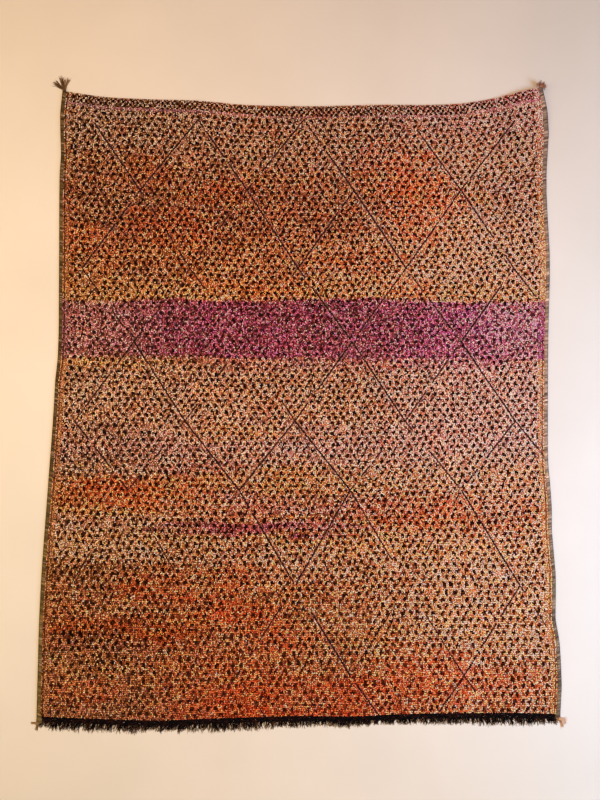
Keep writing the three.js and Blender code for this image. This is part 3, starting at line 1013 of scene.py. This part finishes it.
def make_binding(side, inner, outer, tree, material):
    """A bound edge: slanting wraps of yarn, side by side over a core of warps."""
    rng = np.random.default_rng(len(side))
    low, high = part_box("selvedge_" + side)
    dyes = [DYE[name] for name in BINDING_DYES[side]]
    y = np.arange(low.y + 2 * MM, high.y - 1 * MM, WRAP_PITCH)
    count = len(y)
    outward = 1 if side == "right" else -1
    width = np.abs(outer(y) - inner(y)) + BINDING_OVERLAP
    x = (inner(y) + outer(y) - outward * BINDING_OVERLAP) / 2
    dye = mix(dyes[0], dyes[1], smooth((0.9 - y) / 0.8)[:, None])
    dye = mix(dye, dyes[2], smooth((-0.1 - y) / 0.8)[:, None])
    slant = 0.32 * outward - np.arctan2(np.gradient(x), np.gradient(y)) + rng.normal(0, 0.07, count)
    size = np.stack([width * 0.84, np.full(count, WRAP_LENGTH), np.full(count, WRAP_HEIGHT)], -1)
    size *= rng.normal(1, 0.035, (count, 3))
    tone = np.repeat(rng.normal(0, 0.22, count), 2)[:count, None] + rng.normal(0, 0.25, (count, 1))
    colour = dye * np.exp(tone)
    colour = mix(colour, DYE["dark_brown"], 0.5 * (rng.random(count) < 0.25))
    colour = mix(colour, DYE["cream"], 0.25 * (rng.random(count) < 0.1))
    place = np.stack([x, y + rng.normal(0, 0.3 * MM, count), curl(x, y) + 0.9 * MM], -1)
    wraps = grown(cloud("wraps_" + side, place, turned(slant), size, colour), tree, Wool=material)

    # Core: an eight-sided bar under the wraps, its dye darkened as painted shade where it shows beneath
    # them
    y = np.linspace(low.y + 1 * MM, high.y - 1 * MM, 120)
    x, width = (inner(y) + outer(y)) / 2, np.abs(outer(y) - inner(y))
    angle = (np.arange(8) + 0.5) / 8 * 2 * math.pi
    ring_x = x[:, None] + 0.46 * width[:, None] * np.cos(angle)
    ring_z = curl(x, y)[:, None] + 4.0 * MM + 4.0 * MM * np.sin(angle)
    points = np.stack([ring_x, np.repeat(y[:, None], 8, 1), ring_z], -1).reshape(-1, 3)
    at = np.arange(len(points)).reshape(-1, 8)
    after = np.roll(at, -1, 1)
    quads = np.stack([at[:-1], at[1:], after[1:], after[:-1]], -1).reshape(-1, 4).tolist()
    core = new_piece("core_" + side, points, faces=[*quads, at[0].tolist(), at[-1, ::-1].tolist()])
    write_attribute(core, "dye", "FLOAT_COLOR", np.tile(dyes[0] * 0.4, (len(points), 1)))
    core.data.materials.append(material)
    return joined("binding_" + side, [wraps, core])


def strand_paths(name, roots, headings, lengths, rises, thickness, colours, bend, floor, seed, steps=5):
    """Chains of edges for loose strands: each leaves its root on a heading, bends and settles."""
    rng = np.random.default_rng(seed)
    count = len(roots)
    share = np.linspace(0, 1, steps + 1)
    turning = headings[:, None] + rng.normal(0, bend, (count, 1)) * share ** 1.4
    turning += rng.normal(0, bend * 0.25, (count, steps + 1))
    step = lengths[:, None] / steps
    level, climb = np.cos(rises)[:, None], np.sin(rises)[:, None]
    path = np.stack([np.cos(turning) * step * level, np.sin(turning) * step * level,
                     np.tile(climb * step, (1, steps + 1))], -1)
    path[:, 0] = 0
    path = roots[:, None, :] + np.cumsum(path, 1)
    lowest = (floor + thickness)[:, None]
    lying = smooth(share * 1.3) * (np.abs(rises) < 0.01)[:, None]
    path[:, :, 2] = np.maximum(path[:, :, 2] * (1 - lying) + lowest * lying, lowest)
    at = np.arange(count * (steps + 1)).reshape(count, steps + 1)
    edges = np.stack([at[:, :-1], at[:, 1:]], -1).reshape(-1, 2)
    piece = new_piece(name, path.reshape(-1, 3), edges=edges.tolist())
    write_attribute(piece, "thickness", "FLOAT", (thickness[:, None] * (1 - 0.65 * share ** 2)).ravel())
    write_attribute(piece, "dye", "FLOAT_COLOR", np.repeat(colours, steps + 1, 0))
    return piece


def make_fringe(knots, strands, material):
    """Dark end band of small knots, with loose hair locks that lie on the floor."""
    rng = np.random.default_rng(404)
    rows, columns = 5, 300
    column, row = np.meshgrid(np.arange(columns), np.arange(rows), indexing="ij")
    x, edge, _ = on_field((column.ravel() + 0.5) / columns, np.zeros(columns * rows))
    count = len(x)
    y = edge - (row.ravel() + 0.4) * BAND_WIDTH / rows + rng.normal(0, 1.4 * MM, count)
    place = np.stack([x, y, 4.2 * MM - 0.5 * MM * row.ravel()], -1)
    size = np.array([13.0, 9.0, 2.6]) * MM * rng.normal(1, 0.1, (count, 3))
    turn = turned(rng.normal(0.3, 0.2, count))
    tone = DYE["hair_black"] * rng.uniform(0.5, 1.6, (count, 1))
    tone = mix(tone, DYE["dark_brown"], 0.6 * (rng.random(count) < 0.2))
    band = grown(cloud("fringe_band", place, turn, size, tone), knots, Wool=material)

    count = FRINGE_STRANDS
    x, edge, _ = on_field(np.sort(rng.random(count)), np.zeros(count))
    bunch = np.floor((x + 1.1) / (LOCK_WIDTH_MM * MM)).astype(int)
    draw = np.random.default_rng(405).random((bunch.max() + 1, 2))[bunch]
    reach = np.interp(x, FRINGE_X, FRINGE_REACH) * (0.75 + 0.4 * draw[:, 0]) * rng.uniform(0.6, 1.15, count)
    lean = np.interp(x, FRINGE_X, FRINGE_LEAN) + 0.7 * (draw[:, 1] - 0.5) + rng.normal(0, 0.22, count)
    gather = ((bunch + 0.5) * LOCK_WIDTH_MM * MM - 1.1 - x) / (30 * MM)
    roots = np.stack([x, edge - BAND_WIDTH + 2 * MM, rng.uniform(1.5, 5.0, count) * MM], -1)
    # Strand tones spread widely: partly random tone, the lightest strands painted highlights on the black
    # hair
    tone = DYE["hair_black"] * rng.uniform(0.4, 2.4, (count, 1))
    tone = mix(tone, DYE["olive_brown"], 0.4 * (rng.random(count) < 0.14))
    locks = strand_paths("fringe_locks", roots, -math.pi / 2 + lean + 0.9 * gather, reach, np.zeros(count),
                         rng.uniform(0.9, 1.6, count) * MM, tone, 0.5, 0.0, 406)
    return joined("fringe", [band, grown(locks, strands, Wool=material)])


def make_tassel(name, aim, fan, rise, length, locks, count, dye, second, strands, wraps, material):
    """A corner tassel: yarn wrapped round its neck, with loose strands fanning out of it."""
    rng = np.random.default_rng(count)
    left = "left" in name
    inner, outer = (left_inner, left_outer) if left else (right_inner, right_outer)
    low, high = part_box("selvedge_left" if left else "selvedge_right")
    y = high.y + 2 * MM if "top" in name else low.y - 2 * MM
    x = float(inner(y) + outer(y)) / 2
    floor = float(curl(x, y))
    heading = math.radians(aim)
    ahead = np.array([math.cos(heading), math.sin(heading), 0])
    start = np.array([x, y, floor])

    # Neck: wraps laid across the heading
    steps = 9
    share = np.linspace(0, 1, steps)
    swell = (0.75 + 0.35 * np.sin(share * math.pi * 1.1))[:, None]
    turn = turned(heading - math.pi / 2 + rng.normal(0, 0.2, steps))
    tone = DYE[dye] * rng.uniform(0.6, 1.1, (steps, 1))
    along = start + ahead * 12 * MM * share[:, None] + (0, 0, 0.7 * MM)
    neck = grown(cloud(name + "_neck", along, turn, NECK_WRAP * swell, tone), wraps, Wool=material)

    # Strands gather into pointed locks
    lock = np.arange(count) % locks
    spread = np.arange(locks) / (locks - 1) - 0.5 + rng.normal(0, 0.05, locks)
    headings = heading + math.radians(fan) * spread
    reach = (length + 8) * MM * rng.uniform(0.8, 1, locks)
    tips = start[:2] + reach[:, None] * np.stack([np.cos(headings), np.sin(headings)], -1)
    roots = start + ahead * 4 * MM + rng.normal(0, 2.2 * MM, (count, 3)) * (1, 1, 0)
    roots[:, 2] += rng.uniform(1.0, 5.5, count) * MM
    to_tip = tips[lock] - roots[:, :2] + rng.normal(0, 0.055 * length * MM, (count, 2))
    rises = math.radians(rise) * np.sin(np.arange(count) * 2.4)
    tone = DYE[dye] * rng.uniform(0.45, 1.3, (count, 1))
    tone = mix(tone, DYE[second], 0.55 * (rng.random(locks) < 0.4)[lock])
    loose = strand_paths(name + "_strands", roots, np.arctan2(to_tip[:, 1], to_tip[:, 0]),
                         np.hypot(*to_tip.T) * rng.uniform(0.7, 1, count), rises,
                         rng.uniform(0.6, 1.05, count) * MM, tone, 0.2, floor if rise else 0.0, count)
    return joined(name + "_yarn", [neck, grown(loose, strands, Wool=material)])


# Floor, light and camera

def make_floor():
    corners = [(-FLOOR_REACH, -FLOOR_REACH, 0), (FLOOR_REACH, -FLOOR_REACH, 0),
               (FLOOR_REACH, FLOOR_REACH, 0), (-FLOOR_REACH, FLOOR_REACH, 0)]
    floor = new_piece("floor", corners, faces=[(0, 1, 2, 3)])
    material, tree, shader, place = new_material("pale_floor", FLOOR_ROUGHNESS)
    grain = add(tree, "ShaderNodeTexNoise", Vector=place, Scale=2.2, Detail=3.0)
    ramp = add(tree, "ShaderNodeValToRGB", Fac=grain)
    for stop, position, tone in zip(ramp.color_ramp.elements, (0.3, 0.7), FLOOR_TONES):
        stop.position = position
        stop.color = (*linear(tone), 1)
    tree.links.new(ramp.outputs["Color"], shader.inputs["Base Color"])
    floor.data.materials.append(material)


def add_light(name, place, aim, size, power, colour):
    light = bpy.data.lights.new(name, "AREA")
    light.shape = "RECTANGLE"
    light.size, light.size_y = size
    light.energy = power
    light.color = colour
    lamp = in_scene(name, light)
    lamp.location = place
    lamp.rotation_euler = (Vector(aim) - Vector(place)).to_track_quat("-Z", "Y").to_euler()


def light_room():
    for light in LIGHTS:
        add_light(*light)
    world = bpy.data.worlds.new("room")
    world.use_nodes = True
    world.node_tree.nodes["Background"].inputs["Color"].default_value = (1.0, 0.93, 0.85, 1)
    world.node_tree.nodes["Background"].inputs["Strength"].default_value = WORLD_LIGHT
    bpy.context.scene.world = world
    bpy.context.scene.view_settings.view_transform = "Standard"


def add_camera():
    data = bpy.data.cameras.new("camera")
    data.sensor_width = SENSOR
    data.lens = SENSOR * FOCAL_PIXELS / FRAME_LONG_SIDE
    camera = in_scene("camera", data)
    toward, up = -math.cos(CAMERA_ELEVATION), math.sin(CAMERA_ELEVATION)
    camera.location = (0, CAMERA_DISTANCE * toward, CAMERA_DISTANCE * up)
    camera.rotation_euler = (math.pi / 2 - CAMERA_ELEVATION, 0, 0)
    bpy.context.scene.camera = camera


make_floor()
light_room()
add_camera()

knot_wool = wool("knot_wool")
ground_wool = wool("ground_wool", fibre=500.0, twist=260.0, dark=0.5, light=1.3)
line_wool = wool("line_wool")
binding_wool = wool("binding_wool", fibre=1100.0, twist=520.0)
fringe_hair = wool("fringe_hair", fibre=1600.0)
tassel_wool = wool("tassel_wool", fibre=1600.0)

knots = knot_tree()
wraps = wrap_tree()
strands = strand_tree()
ground = make_ground_cloth(ground_wool)
field = [ground, *make_knot_strips(knots, knot_wool), make_lozenge_lines(knots, line_wool)]
bindings = [
    make_binding("left", left_inner, left_outer, wraps, binding_wool),
    make_binding("right", right_inner, right_outer, wraps, binding_wool),
]
fringe = make_fringe(knots, strands, fringe_hair)
tassels = [make_tassel(*row, strands, wraps, tassel_wool) for row in TASSELS]

for piece in [*field, *bindings, fringe, *tassels]:
    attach(piece, "root")
for side, piece in zip(("left", "right"), bindings):
    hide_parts("selvedge_" + side)
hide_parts("rug_field")
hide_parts("end_fringe")
for row, piece in zip(TASSELS, tassels):
    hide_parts(row[0])
